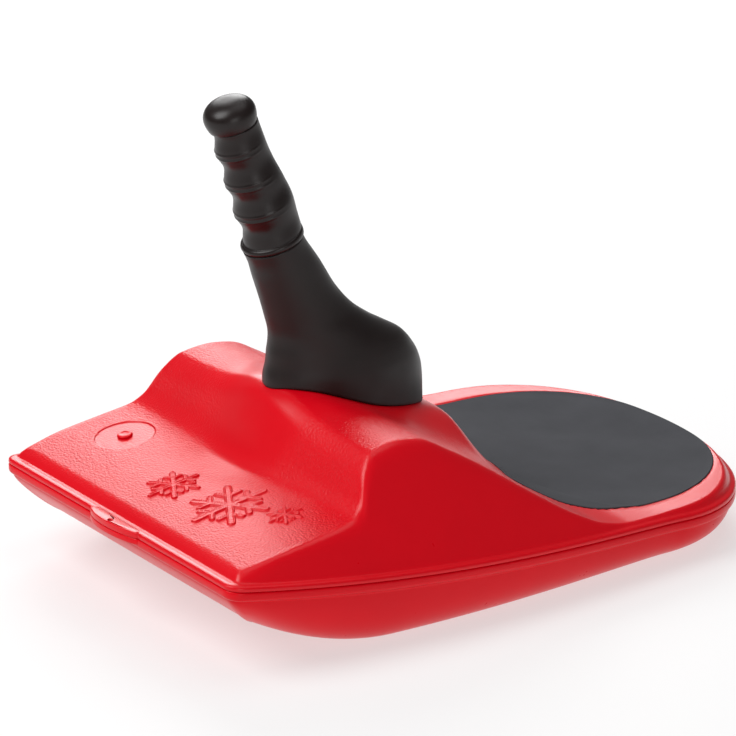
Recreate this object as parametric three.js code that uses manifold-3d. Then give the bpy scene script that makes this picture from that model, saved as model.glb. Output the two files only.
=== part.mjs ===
// One-person snow sled: a hollow blow-moulded body in two mould halves, a hollow stem that
// rises from its hump, a rubber boot and finger-grooved grip on the stem, and a foam seat pad.
// Millimetres. +Z up, nose towards -Y, seat towards +Y, stem in the plane x = 0.
import * as THREE from 'three';
import { mergeVertices } from 'three/addons/utils/BufferGeometryUtils.js';
import Module from 'manifold-3d';

const wasm = await Module();
wasm.setup();

// ---- driving dimensions -------------------------------------------------------------------

const GAP = 0.35; // between pieces that touch
const SEAM = GAP / 2; // each mould half stops this far from the parting line
const WALL = 2.6; // moulded wall

// Outline of the rim in plan, right half
const NOSE_Y = -276;
const NOSE_HALF = 175;
const NOSE_CORNER_R = 14;
const SIDE_HALF = 174.5; // half width where the round tail starts
const SIDE_Y = 162;
const TAIL_Y = 290;

// Height of the parting line between the two mould halves
const PARTING_NOSE = 76.4;
const PARTING_TAIL = 33.5;
const PARTING_SAG = 23;

// Rim flange that both halves share
const FLANGE_UP = 5.4;
const FLANGE_DOWN = 8;
const FLANGE_SIDE = 5;
const FLANGE_NOSE_EXTRA = 3.5;
const WALL_SLOPE = 2; // rise over run of the deck's side walls

// Underside
const HULL_INSET = 3.5;
const HULL_RUN = 37;
const KEEL_NOSE = 57;
const KEEL_NOSE_END = -119;
const KEEL_NOSE_POWER = 1.9;
const KEEL_TAIL = 11;
const KEEL_TAIL_START = 204;
const GROOVE_X = 82;
const GROOVE_HALF = 15;
const GROOVE_DEPTH = 5;

// Top profiles, as (y, z): along the shoulders, and along the middle where the mound stands
const SHOULDER = [[-268, 86.5], [-226, 95], [-188, 101], [-158, 106.5], [-147, 114], [-136, 136],
  [-122, 150], [-98, 154], [-76, 151], [-47, 136], [60, 66], [84, 55], [112, 49.5], [150, 48],
  [290, 49]];
const MIDDLE = [[-268, 86.5], [-226, 95], [-188, 101], [-166, 105], [-157, 111], [-143, 142],
  [-133, 161], [-121, 166], [-53, 145], [24, 121.5], [38, 101], [46, 87], [61, 73], [90, 54], [112, 49.5],
  [150, 48], [290, 49]];
const MOUND_HALF = 62;

// Seat dish
const DISH_Y = 150;
const DISH_HALF_X = 143;
const DISH_FRONT = 62; // from the dish's middle to where its floor meets the hump
const DISH_REAR = 131;
const DISH_FLOOR = 38.5;
const DISH_RISE = 10;
const DISH_WALL = 70;

// Foam pad, let into a shallow pocket; it climbs the foot of the hump and is cut back in a
// hollow curve round the mound
const PAD_FRONT = 119;
const PAD_SQUARENESS = 2.25;
const PAD_CUT_MIDDLE = 80;
const PAD_CUT_CURVE = 34 / 107 ** 2;
const PAD_CORNER = 16;
const PAD_PROUD = 0.8;
const POCKET_DEPTH = 4;

// Tow tab on the nose
const TAB_HALF = 36;
const TAB_REACH = 9.5;
const TAB_THICK = 5;
const TOW_HOLE_R = 3.6;
const TOW_HOLE_Y = -279;

// Stem and handle; the axis leans towards the nose
const AXIS_TILT = THREE.MathUtils.degToRad(19.2);
const COLLAR_Y = -123.5;
const COLLAR_Z = 287;
const STEM_R_TOP = 12;
const STEM_R_FOOT = 32;
const STEM_TOP = 124; // measured along the axis from the collar
const STEM_FOOT = -158;
const STEM_CUT_FOOT = -200; // how far down a sleeve's bore is cut
const GRIP_TOP = 110;
const FINGER_PITCH = 28.5;
const FINGER_COUNT = 4;
const KNOB_R = 21.6;

// Filling plug on the nose panel
const PLUG_X = -115;
const PLUG_Y = -194;
const PLUG_DISC_R = 25;
const PLUG_R = 6.5;
const PLUG_SUNK = 0.9; // depth of the round recess
const SPIGOT_LENGTH = 7;

// ---- small maths --------------------------------------------------------------------------

const clamp = THREE.MathUtils.clamp;

function parting(y) {
  const u = (y - NOSE_Y) / (TAIL_Y - NOSE_Y);
  return PARTING_NOSE + (PARTING_TAIL - PARTING_NOSE) * u - PARTING_SAG * u * (1 - u);
}

function smoothMin(a, b, k) {
  const h = Math.max(k - Math.abs(a - b), 0) / k;
  return Math.min(a, b) - h * h * k / 4;
}

// Monotone cubic curve through a list of (y, z) points, so a profile has no overshoot
function profile(points) {
  const n = points.length;
  const slopes = [];
  for (let i = 0; i < n - 1; i++) {
    slopes.push((points[i + 1][1] - points[i][1]) / (points[i + 1][0] - points[i][0]));
  }
  const tangents = [slopes[0]];
  for (let i = 1; i < n - 1; i++) {
    const same = slopes[i - 1] * slopes[i] > 0;
    tangents.push(same ? 2 * slopes[i - 1] * slopes[i] / (slopes[i - 1] + slopes[i]) : 0);
  }
  tangents.push(slopes[n - 2]);
  return (at) => {
    const y = clamp(at, points[0][0], points[n - 1][0]);
    let i = 0;
    while (i < n - 2 && y > points[i + 1][0]) i++;
    const h = points[i + 1][0] - points[i][0];
    const t = (y - points[i][0]) / h;
    const t2 = t * t;
    const t3 = t2 * t;
    return points[i][1] * (2 * t3 - 3 * t2 + 1) + tangents[i] * h * (t3 - 2 * t2 + t)
      + points[i + 1][1] * (3 * t2 - 2 * t3) + tangents[i + 1] * h * (t3 - t2);
  };
}

// ---- outline ------------------------------------------------------------------------------

// Right half from the middle of the nose to the middle of the tail
function outlineHalf() {
  const points = [];
  const noseSteps = 5;
  for (let i = 0; i < noseSteps; i++) {
    points.push(new THREE.Vector2((NOSE_HALF - NOSE_CORNER_R) * i / noseSteps, NOSE_Y));
  }
  const corner = new THREE.EllipseCurve(NOSE_HALF - NOSE_CORNER_R, NOSE_Y + NOSE_CORNER_R,
    NOSE_CORNER_R, NOSE_CORNER_R, -Math.PI / 2, -0.2, false);
  points.push(...corner.getPoints(3));
  const last = points[points.length - 1];
  const side = new THREE.CubicBezierCurve(last, new THREE.Vector2(last.x + 40, last.y + 190),
    new THREE.Vector2(SIDE_HALF + 2, SIDE_Y - 56), new THREE.Vector2(SIDE_HALF, SIDE_Y));
  const sideSteps = 24;
  for (let i = 1; i <= sideSteps; i++) {
    points.push(side.getPoint(sideStep(i / sideSteps)));
  }
  const tail = new THREE.CubicBezierCurve(new THREE.Vector2(SIDE_HALF, SIDE_Y),
    new THREE.Vector2(SIDE_HALF, SIDE_Y + 72), new THREE.Vector2(108, TAIL_Y),
    new THREE.Vector2(0, TAIL_Y));
  const tailSteps = 12;
  for (let i = 1; i <= tailSteps; i++) {
    points.push(tail.getPoint(i / tailSteps));
  }
  return points;
}

// Steps along the side are closer together beside the steep front of the hump
function sideStep(u) {
  return u + 0.055 * Math.sin(2 * Math.PI * u);
}

function outlineLoop() {
  const half = outlineHalf();
  const left = half.slice(1, -1).reverse().map((p) => new THREE.Vector2(-p.x, p.y));
  return [...half, ...left];
}

const OUTLINE = outlineLoop();
const INWARD = OUTLINE.map((p, i) => {
  const before = OUTLINE[(i + OUTLINE.length - 1) % OUTLINE.length];
  const after = OUTLINE[(i + 1) % OUTLINE.length];
  const along = after.clone().sub(before).normalize();
  return new THREE.Vector2(-along.y, along.x);
});
const FLANGE = INWARD.map((n) => FLANGE_SIDE + FLANGE_NOSE_EXTRA * Math.max(n.y, 0) ** 2);

// Distance from a point to the outline
function inset(x, y) {
  let best = Infinity;
  for (let i = 0; i < OUTLINE.length; i++) {
    const a = OUTLINE[i];
    const b = OUTLINE[(i + 1) % OUTLINE.length];
    const dx = b.x - a.x;
    const dy = b.y - a.y;
    const t = clamp(((x - a.x) * dx + (y - a.y) * dy) / (dx * dx + dy * dy), 0, 1);
    best = Math.min(best, Math.hypot(x - a.x - dx * t, y - a.y - dy * t));
  }
  return best;
}

// ---- surfaces of the body -----------------------------------------------------------------

const shoulderAt = profile(SHOULDER);
const middleAt = profile(MIDDLE);

function dishAt(x, y) {
  const rho = Math.hypot(x / DISH_HALF_X, (y - DISH_Y) / (y > DISH_Y ? DISH_REAR : DISH_FRONT));
  return DISH_FLOOR + DISH_RISE * rho * rho + DISH_WALL * Math.max(rho - 1, 0);
}

// The nose panel, hump and mound, before the dish is sunk into them
function ridgeAt(x, y) {
  const mound = 1 / (1 + (Math.abs(x) / MOUND_HALF) ** 4);
  const shoulder = shoulderAt(y);
  return shoulder + (middleAt(y) - shoulder) * mound;
}

function crownAt(x, y) {
  return smoothMin(ridgeAt(x, y), dishAt(x, y), 6);
}

// Distance from the dish's middle to the pad's edge in the direction (c, s)
function padReach(c, s) {
  const length = s > 0 ? DISH_REAR : PAD_FRONT;
  const round = (Math.abs(c / DISH_HALF_X) ** PAD_SQUARENESS + Math.abs(s / length) ** PAD_SQUARENESS)
    ** (-1 / PAD_SQUARENESS);
  const curve = PAD_CUT_CURVE * c * c;
  const root = s * s - 4 * curve * PAD_CUT_MIDDLE;
  if (s >= 0 || root <= 0) return round;
  return smoothMin(round, 2 * PAD_CUT_MIDDLE / (-s + Math.sqrt(root)), PAD_CORNER);
}

// How far inside the pad's edge a point lies, negative outside
function padInset(x, y) {
  const r = Math.hypot(x, y - DISH_Y);
  return r < 1 ? PAD_CUT_MIDDLE : padReach(x / r, (y - DISH_Y) / r) - r;
}

// Top of the deck; flange is the width of the rim flange beside this point
function deckTop(x, y, flange = FLANGE_SIDE) {
  const foot = parting(y) + FLANGE_UP;
  const wall = foot + WALL_SLOPE * (inset(x, y) - flange);
  const crown = crownAt(x, y);
  const round = clamp(2 + 0.2 * (crown - foot), 2, 13);
  return Math.max(smoothMin(wall, crown, round), foot);
}

function keel(y) {
  const nose = clamp((KEEL_NOSE_END - y) / (KEEL_NOSE_END - NOSE_Y), 0, 1);
  const tail = clamp((y - KEEL_TAIL_START) / (TAIL_Y - KEEL_TAIL_START), 0, 1);
  return KEEL_NOSE * nose ** KEEL_NOSE_POWER + KEEL_TAIL * tail ** 2;
}

// Two shallow glide grooves along the flat of the underside
function groove(x, y) {
  const across = clamp(1 - Math.abs(Math.abs(x) - GROOVE_X) / GROOVE_HALF, 0, 1);
  const along = clamp((KEEL_TAIL_START - 20 - y) / 40, 0, 1) * clamp((y + 210) / 60, 0, 1);
  return GROOVE_DEPTH * Math.sin(across * Math.PI / 2) ** 2 * along;
}

// ---- meshes -------------------------------------------------------------------------------

const SPINE_START = -170;
const SPINE_END = 185;

// A point of the outline moved inwards: square to the rim at first, then towards the spine
const SQUARE_IN = 12;
function inwardPoint(i, run, share) {
  const p = OUTLINE[i];
  const q = INWARD[i];
  const x = p.x + q.x * run;
  const y = p.y + q.y * run;
  const spineY = clamp(p.y, SPINE_START, SPINE_END);
  return new THREE.Vector2(x * (1 - share), y + (spineY - y) * share);
}

// A closed body from rings of points, bottom spine to top spine
function ringGeometry(rings) {
  const positions = rings.flat().flatMap((p) => [p.x, p.y, p.z]);
  const count = rings[0].length;
  const index = [];
  for (let r = 0; r < rings.length - 1; r++) {
    for (let i = 0; i < count; i++) {
      const a = r * count + i;
      const b = r * count + (i + 1) % count;
      index.push(a, b, b + count, a, b + count, a + count);
    }
  }
  return closedGeometry(positions, index);
}

// Merges shared vertices and leaves out triangles that have no area
function closedGeometry(positions, index) {
  const raw = new THREE.BufferGeometry();
  raw.setAttribute('position', new THREE.Float32BufferAttribute(positions, 3));
  raw.setIndex(index);
  const merged = mergeVertices(raw, 1e-3);
  const old = merged.getIndex().array;
  const kept = [];
  for (let i = 0; i < old.length; i += 3) {
    const [a, b, c] = [old[i], old[i + 1], old[i + 2]];
    if (a !== b && b !== c && c !== a) kept.push(a, b, c);
  }
  merged.setIndex(kept);
  return merged;
}

function solid(geometry) {
  const plain = new THREE.BufferGeometry();
  plain.setAttribute('position', geometry.getAttribute('position'));
  plain.setIndex(geometry.getIndex());
  const merged = mergeVertices(plain, 1e-4);
  return new wasm.Manifold(new wasm.Mesh({
    numProp: 3,
    vertProperties: new Float32Array(merged.getAttribute('position').array),
    triVerts: new Uint32Array(merged.getIndex().array),
  }));
}

function geometryOf(body) {
  const mesh = body.getMesh();
  const geometry = new THREE.BufferGeometry();
  geometry.setAttribute('position', new THREE.Float32BufferAttribute(mesh.vertProperties, 3));
  geometry.setIndex([...mesh.triVerts]);
  return geometry;
}

function ring(run, share, height) {
  return OUTLINE.map((p, i) => {
    const q = inwardPoint(i, run, share);
    return new THREE.Vector3(q.x, q.y, height(q.x, q.y, i));
  });
}

// How far in from the rim, as shares of the way to the spine, the deck's two creases lie beside
// each outline point: the shoulder above the side wall, and the edge of the seat pad
const PAD_EDGE_DEFAULT = 0.16;
const CREASES = OUTLINE.map((p, i) => {
  const above = (share) => {
    const q = inwardPoint(i, SQUARE_IN, share);
    const wall = parting(q.y) + FLANGE_UP + WALL_SLOPE * (inset(q.x, q.y) - FLANGE[i]);
    return wall > crownAt(q.x, q.y);
  };
  const inPad = (share) => {
    const q = inwardPoint(i, SQUARE_IN, share);
    return padInset(q.x, q.y) > 0;
  };
  const shoulder = Math.max(firstShare(above, 0.6), 0.03);
  const padEdge = firstShare(inPad, 1);
  return [shoulder, padEdge < 1 ? Math.max(padEdge, shoulder + 0.06) : shoulder + PAD_EDGE_DEFAULT];
});

function firstShare(test, limit) {
  const steps = 200;
  for (let k = 0; k < steps; k++) {
    if (test(limit * k / steps)) return limit * k / steps;
  }
  return limit;
}

// Rings between the creases: a list of [from, to, part], 0 the rim, 1 and 2 the creases, 3 the spine
const DECK_RINGS = [[0, 1, 0.5], [0, 1, 0.86], [0, 1, 1], [1, 2, 0.3], [1, 2, 0.65], [1, 2, 1],
  [2, 3, 0.09], [2, 3, 0.24], [2, 3, 0.42], [2, 3, 0.62], [2, 3, 0.82], [2, 3, 1]];
const INNER_RINGS = [[0, 1, 0.85], [1, 2, 0.3], [1, 2, 1], [2, 3, 0.24], [2, 3, 0.62], [2, 3, 1]];

function creaseRing([from, to, part], height) {
  return OUTLINE.map((p, i) => {
    const marks = [0, ...CREASES[i], 1];
    const q = inwardPoint(i, SQUARE_IN, marks[from] + (marks[to] - marks[from]) * part);
    return new THREE.Vector3(q.x, q.y, height(q.x, q.y, i));
  });
}

// The seat is deeper than the parting line, so the upper half's form is closed below it
const BELOW_SEAM = 20;
const SEAM_IN = 10.5;

// The upper half's outer form
function deckSolid() {
  const rings = [
    ring(SEAM_IN, 1, (x, y) => parting(y) - BELOW_SEAM),
    ring(SEAM_IN, 0, (x, y) => parting(y) - BELOW_SEAM),
    ring(SEAM_IN, 0, (x, y) => parting(y) + SEAM),
    ring(0.6, 0, (x, y) => parting(y) + SEAM),
    ring(0, 0, (x, y) => parting(y) + 1.6),
    ring(0.9, 0, (x, y) => parting(y) + FLANGE_UP - 1),
    ring(2.4, 0, (x, y) => parting(y) + FLANGE_UP),
    ring(4.6, 0, (x, y, i) => deckTop(x, y, FLANGE[i])),
    ring(8.5, 0, (x, y, i) => deckTop(x, y, FLANGE[i])),
    ring(SQUARE_IN, 0, (x, y, i) => deckTop(x, y, FLANGE[i])),
  ];
  for (const place of DECK_RINGS) {
    rings.push(creaseRing(place, (x, y, i) => deckTop(x, y, FLANGE[i])));
  }
  return solid(ringGeometry(rings));
}

// The hollow inside the upper half, one wall thickness in from the outer form
function deckHollow() {
  const under = (x, y, i) => {
    const e = 1.5;
    const z = deckTop(x, y, FLANGE[i]) - (POCKET_DEPTH + 0.6) * clamp((padInset(x, y) + 12) / 6, 0, 1);
    const sx = (deckTop(x + e, y, FLANGE[i]) - deckTop(x - e, y, FLANGE[i])) / (2 * e);
    const sy = (deckTop(x, y + e, FLANGE[i]) - deckTop(x, y - e, FLANGE[i])) / (2 * e);
    return z - WALL * Math.hypot(1, sx, sy);
  };
  const rings = [
    ring(SEAM_IN - 1, 1, (x, y) => parting(y) - BELOW_SEAM - 5),
    ring(SEAM_IN - 1, 0, (x, y) => parting(y) - BELOW_SEAM - 5),
    ring(SEAM_IN - 1, 0, under),
    ring(SQUARE_IN + 3, 0, under),
  ];
  for (const place of INNER_RINGS) {
    rings.push(creaseRing(place, under));
  }
  return solid(ringGeometry(rings));
}

// Shares of the way inwards at which the glide grooves' edges and middles lie
const GROOVE_SHARES = [1, 0.56, 0.45, 0.34];

// The lower half: flange, quarter-round side and flat underside. thick is 0 for the outer form
function hullRings(thick) {
  const start = (y) => parting(y) - FLANGE_DOWN;
  const bottom = (x, y) => keel(y) + groove(x, y) + thick;
  const rings = [];
  const turns = thick ? 3 : 6;
  const runEnd = HULL_INSET + HULL_RUN;
  for (const share of GROOVE_SHARES) {
    rings.push(ring(runEnd, share, bottom));
  }
  for (let k = turns; k >= 0; k--) {
    const angle = k / turns * Math.PI / 2;
    const run = HULL_INSET + thick + (HULL_RUN - thick) * (1 - Math.cos(angle));
    rings.push(ring(run, 0, (x, y) => start(y) - (start(y) - bottom(x, y)) * Math.sin(angle)));
  }
  return rings;
}

function hullSolid() {
  const rings = hullRings(0);
  rings.push(ring(1, 0, (x, y) => parting(y) - FLANGE_DOWN + 1));
  rings.push(ring(0, 0, (x, y) => parting(y) - FLANGE_DOWN + 3));
  rings.push(ring(0, 0, (x, y) => parting(y) - 1.6));
  rings.push(ring(0.6, 0, (x, y) => parting(y) - SEAM));
  rings.push(ring(0, 1, (x, y) => parting(y) - SEAM));
  return solid(ringGeometry(rings));
}

function hullHollow() {
  const rings = hullRings(WALL);
  rings.push(ring(HULL_INSET + WALL, 0, (x, y) => parting(y) + 6));
  rings.push(ring(0, 1, (x, y) => parting(y) + 6));
  return solid(ringGeometry(rings));
}

// ---- handle axis --------------------------------------------------------------------------

const AXIS = new THREE.Vector3(0, -Math.sin(AXIS_TILT), Math.cos(AXIS_TILT));
const COLLAR = new THREE.Vector3(0, COLLAR_Y, COLLAR_Z);

// A shape turned about +Y (as LatheGeometry makes it) stood on the handle axis, s along it
function onAxis(geometry) {
  geometry.rotateX(Math.PI / 2 + AXIS_TILT);
  geometry.translate(COLLAR.x, COLLAR.y, COLLAR.z);
  return geometry;
}

function lathe(points, segments) {
  const outline = points.map(([r, s]) => new THREE.Vector2(r, s));
  return onAxis(new THREE.LatheGeometry(outline, segments));
}

function stemRadius(s) {
  return s > 0 ? STEM_R_TOP : STEM_R_TOP + (STEM_R_FOOT - STEM_R_TOP) * clamp(-s / 120, 0, 1);
}

function stemForm(extra, top, foot) {
  const profileAt = [foot, -120, 0].map((s) => [stemRadius(s) + extra, s]);
  return solid(lathe([[0, foot], ...profileAt, [STEM_R_TOP + extra, top - 4], [STEM_R_TOP + extra - 3, top],
    [0, top]], 28));
}

// Section of the handle round the axis: front and back radii, and half width
function handleRing(s, front, back, segments) {
  const points = [];
  const forward = new THREE.Vector3(0, -Math.cos(AXIS_TILT), -Math.sin(AXIS_TILT));
  for (let i = 0; i < segments; i++) {
    const angle = i / segments * 2 * Math.PI;
    const lean = (1 + Math.cos(angle)) / 2;
    const radius = back + (front - back) * lean;
    const p = COLLAR.clone().addScaledVector(AXIS, s);
    p.addScaledVector(forward, radius * Math.cos(angle));
    p.x += radius * Math.sin(angle);
    points.push(p);
  }
  return points;
}

function capped(rings) {
  const middle = (list) => {
    const centre = new THREE.Vector3();
    list.forEach((p) => centre.add(p));
    centre.divideScalar(list.length);
    return list.map(() => centre);
  };
  return [middle(rings[0]), ...rings, middle(rings[rings.length - 1])];
}

// ---- pieces -------------------------------------------------------------------------------

const deckOuter = deckSolid();
const deckCover = deckOuter.translate([0, 0, GAP]);

function tabSolid(low, high) {
  const outline = new THREE.Shape();
  outline.moveTo(TAB_HALF, NOSE_Y + 6);
  outline.lineTo(TAB_HALF, NOSE_Y);
  outline.bezierCurveTo(TAB_HALF - 16, NOSE_Y - TAB_REACH, -TAB_HALF + 16, NOSE_Y - TAB_REACH - 2.4,
    -TAB_HALF, NOSE_Y);
  outline.lineTo(-TAB_HALF, NOSE_Y + 6);
  outline.closePath();
  const settings = { depth: high - low, bevelEnabled: false, curveSegments: 14 };
  const plate = new THREE.ExtrudeGeometry(outline, settings);
  const position = plate.getAttribute('position');
  for (let i = 0; i < position.count; i++) {
    position.setZ(i, position.getZ(i) + low + parting(position.getY(i)));
  }
  plate.deleteAttribute('normal');
  plate.deleteAttribute('uv');
  return solid(mergeVertices(plate, 1e-3));
}

function verticalRod(x, y, r, low, high, segments = 20) {
  const rod = new THREE.CylinderGeometry(r, r, high - low, segments);
  rod.rotateX(Math.PI / 2);
  rod.translate(x, y, (low + high) / 2);
  return solid(indexed(rod));
}

function indexed(geometry) {
  geometry.deleteAttribute('normal');
  geometry.deleteAttribute('uv');
  return mergeVertices(geometry, 1e-3);
}

// Heights that a cut through the nose starts and ends at
const BELOW_ALL = 40;
const ABOVE_PANEL = 130;

const towHole = verticalRod(0, TOW_HOLE_Y, TOW_HOLE_R, BELOW_ALL, ABOVE_PANEL);

function deckShell() {
  const stemOuter = stemForm(0, STEM_TOP, STEM_FOOT);
  const stemInner = stemForm(-WALL, STEM_TOP - WALL, STEM_FOOT - 20);
  const disc = verticalRod(PLUG_X, PLUG_Y, PLUG_DISC_R, BELOW_ALL, ABOVE_PANEL, 32)
    .intersect(deckOuter)
    .subtract(deckOuter.translate([0, 0, -PLUG_SUNK]));
  return deckOuter.subtract(deckHollow())
    .add(tabSolid(SEAM, TAB_THICK + 1))
    .add(stemOuter)
    .subtract(stemInner)
    .subtract(towHole)
    .subtract(padPlate(0, -POCKET_DEPTH, 12, 0))
    .subtract(disc)
    .subtract(verticalRod(PLUG_X, PLUG_Y, PLUG_R - 2 + GAP, BELOW_ALL, ABOVE_PANEL));
}

function hullShell() {
  return hullSolid()
    .subtract(hullHollow())
    .add(tabSolid(-TAB_THICK, -SEAM))
    .subtract(towHole);
}

// Button with a spigot that closes the filling hole
function ventPlug() {
  const top = deckTop(PLUG_X, PLUG_Y);
  const slope = Math.atan((deckTop(PLUG_X, PLUG_Y + 2) - deckTop(PLUG_X, PLUG_Y - 2)) / 4);
  const outline = [[0, -SPIGOT_LENGTH], [PLUG_R - 2.2, -SPIGOT_LENGTH], [PLUG_R - 2.2, 0.3],
    [PLUG_R, 0.3], [PLUG_R, 1.2], [PLUG_R - 1.6, 2.3], [0, 2.6]].map(([r, along]) => new THREE.Vector2(r, along));
  const button = new THREE.LatheGeometry(outline, 20);
  button.rotateX(Math.PI / 2 + slope);
  button.translate(PLUG_X, PLUG_Y, top - PLUG_SUNK);
  const lowered = deckOuter.translate([0, 0, GAP - PLUG_SUNK]);
  const spigot = verticalRod(PLUG_X, PLUG_Y, PLUG_R - 2, top - SPIGOT_LENGTH, top);
  return solid(indexed(button)).subtract(lowered).add(spigot);
}

// A plate of the pad's outline, follows the deck's surface between two offsets from it
function padPlate(clearance, low, high, edge) {
  const steps = 56;
  const shares = [0.25, 0.5, 0.72, 0.88];
  const loop = (share, back, lift) => {
    const points = [];
    for (let i = 0; i < steps; i++) {
      const angle = i / steps * 2 * Math.PI;
      const [c, s] = [Math.cos(angle), Math.sin(angle)];
      const r = (padReach(c, s) - clearance) * share - back;
      points.push(new THREE.Vector3(r * c, DISH_Y + r * s, deckTop(r * c, DISH_Y + r * s) + lift));
    }
    return points;
  };
  const under = shares.map((share) => loop(share, 0, low));
  const over = shares.map((share) => loop(share, 0, high)).reverse();
  return solid(ringGeometry([loop(0, 0, low), ...under, loop(1, 0, low), loop(1, 0, high - edge),
    loop(1, edge * 0.8, high), ...over, loop(0, 0, high)]));
}

function seatPad() {
  return padPlate(GAP, GAP - POCKET_DEPTH, PAD_PROUD, 1.6);
}

// Boot stations: height, middle of the section in y, half length and half width
const BOOT = [
  [100, -56, 75, 40],
  [145, -56, 73.5, 40],
  [158, -56.5, 73.5, 40],
  [170, -58, 71.5, 39.5],
  [181, -60, 67, 38],
  [191, -64, 62, 36],
  [200, -70.5, 54, 34],
  [209, -78, 46.5, 32],
  [222, -88.5, 39.5, 29],
  [240, -99.5, 33.5, 27],
  [262, -110, 30, 25.5],
];

function handleBoot() {
  const segments = 36;
  const rings = BOOT.map(([z, y, halfLength, halfWidth]) => {
    const loop = [];
    for (let i = 0; i < segments; i++) {
      const angle = i / segments * 2 * Math.PI;
      loop.push(new THREE.Vector3(halfWidth * Math.cos(angle), y + halfLength * Math.sin(angle), z));
    }
    return loop;
  });
  const neck = [-6, -1.2].map((s) => handleRing(s, 24.2, 25.6, segments));
  return solid(ringGeometry(capped([...rings, ...alignLoops(neck)])))
    .subtract(deckCover)
    .subtract(stemForm(GAP, STEM_TOP, STEM_CUT_FOOT));
}

// Turns each loop so that it starts on +X and runs towards +Y, as the boot's sections do
function alignLoops(loops) {
  return loops.map((loop) => {
    const start = loop.reduce((best, p, i) => (p.x > loop[best].x ? i : best), 0);
    const next = loop[(start + 1) % loop.length];
    const step = next.y > loop[start].y ? 1 : -1;
    return loop.map((p, i) => loop[(start + step * i + loop.length) % loop.length]);
  });
}

function gripFront(s) {
  const first = 5;
  const u = (s - first) / FINGER_PITCH;
  const dip = 1.6 - 1.6 * Math.cos(2 * Math.PI * u);
  const swell = 22.2 - 0.018 * s;
  return s < first || u > FINGER_COUNT ? swell : swell - dip;
}

const gripBack = profile([[0, 26.4], [16, 27], [34, 27.8], [52, 25.7], [70, 22.6], [88, 20.9], [112, 20.4]]);

function gripSleeve() {
  const segments = 28;
  const rings = [handleRing(0, 24.6, 25.6, segments), handleRing(0.8, 26, 26.6, segments),
    handleRing(4, 26, 26.8, segments), handleRing(5.4, 23.4, 26.2, segments)];
  const steps = 28;
  for (let i = 1; i <= steps; i++) {
    const s = 6 + (GRIP_TOP - 6) * i / steps;
    rings.push(handleRing(s, gripFront(s), gripBack(s), segments));
  }
  return solid(ringGeometry(capped(rings))).subtract(stemForm(GAP, STEM_TOP, STEM_CUT_FOOT));
}

function gripKnob() {
  const low = GRIP_TOP + GAP;
  const outline = [[0, low], [KNOB_R - 2.6, low], [KNOB_R - 0.5, low + 2.4], [KNOB_R, low + 6],
    [KNOB_R, low + 12.5], [KNOB_R - 1.4, low + 16.5], [KNOB_R - 5, low + 19.8], [KNOB_R - 11, low + 21.6],
    [0, low + 22.4]];
  return solid(lathe(outline, 28)).subtract(stemForm(GAP, STEM_TOP + GAP, STEM_CUT_FOOT));
}

// ---- scene graph --------------------------------------------------------------------------

const RED = { color: 0xd3071a, roughness: 0.34, metalness: 0 };
const RUBBER = { color: 0x1d1a1a, roughness: 0.5, metalness: 0 };
const FOAM = { color: 0x45464a, roughness: 0.95, metalness: 0 };

// The origin is in the middle of the sled's length, tow tab included
const sled = new THREE.Group();
sled.position.y = -3;

function addPiece(name, body, look) {
  const mesh = new THREE.Mesh(geometryOf(body), new THREE.MeshStandardMaterial(look));
  mesh.geometry.computeVertexNormals();
  mesh.name = name;
  sled.add(mesh);
}

addPiece('deck_shell', deckShell(), RED);
addPiece('hull_shell', hullShell(), RED);
addPiece('vent_plug', ventPlug(), RED);
addPiece('seat_pad', seatPad(), FOAM);
addPiece('handle_boot', handleBoot(), RUBBER);
addPiece('grip_sleeve', gripSleeve(), RUBBER);
addPiece('grip_knob', gripKnob(), RUBBER);

export default sled;
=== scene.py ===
"""A one-person snow sled: a blow-moulded red body in two halves with a foam seat pad, and a rubber
boot, finger grip and end knob on its handle. Sizes are in millimetres on the sled's drawing, whose
y is shifted by SHIFT_Y from the part's frame, and a mesh is turned to metres as it is made."""
import math

import bmesh
import bpy
import numpy as np
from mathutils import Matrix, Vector


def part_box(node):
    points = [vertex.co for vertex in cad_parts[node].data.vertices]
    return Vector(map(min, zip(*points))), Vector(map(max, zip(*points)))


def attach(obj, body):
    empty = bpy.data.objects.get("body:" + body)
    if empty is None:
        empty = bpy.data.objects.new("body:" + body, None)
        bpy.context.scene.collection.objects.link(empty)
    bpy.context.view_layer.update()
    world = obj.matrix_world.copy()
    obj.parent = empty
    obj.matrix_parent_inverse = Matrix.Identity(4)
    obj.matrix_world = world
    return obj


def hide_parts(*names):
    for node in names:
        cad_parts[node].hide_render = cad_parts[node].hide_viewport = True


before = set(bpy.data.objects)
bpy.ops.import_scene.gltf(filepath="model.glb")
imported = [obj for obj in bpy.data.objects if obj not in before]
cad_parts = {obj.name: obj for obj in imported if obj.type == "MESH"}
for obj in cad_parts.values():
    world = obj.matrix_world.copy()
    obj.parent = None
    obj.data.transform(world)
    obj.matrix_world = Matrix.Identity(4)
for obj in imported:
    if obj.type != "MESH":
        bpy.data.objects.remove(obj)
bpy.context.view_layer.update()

bl_info = {
    "name": "Snow sled",
    "version": (1, 0, 0),
    "blender": (4, 5, 0),
    "location": "3D View > Sidebar > Snow sled",
    "description": "Models a one-person snow sled and its studio",
    "category": "Add Mesh",
}

MM = 0.001
BODY = "root"

# ---- driving sizes, in millimetres, taken from the frame where it holds them ------------------

TAIL_Y = 290
SHIFT_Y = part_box("hull_shell")[1].y / MM - TAIL_Y  # the frame's origin is midway along the sled
GAP = 0.35

# Rim outline in plan, right half
NOSE_Y = -276
NOSE_HALF = 175
NOSE_CORNER_R = 14
NOSE_CORNER_END = -0.2
SIDE_HALF = 174.5
SIDE_Y = 162

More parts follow.
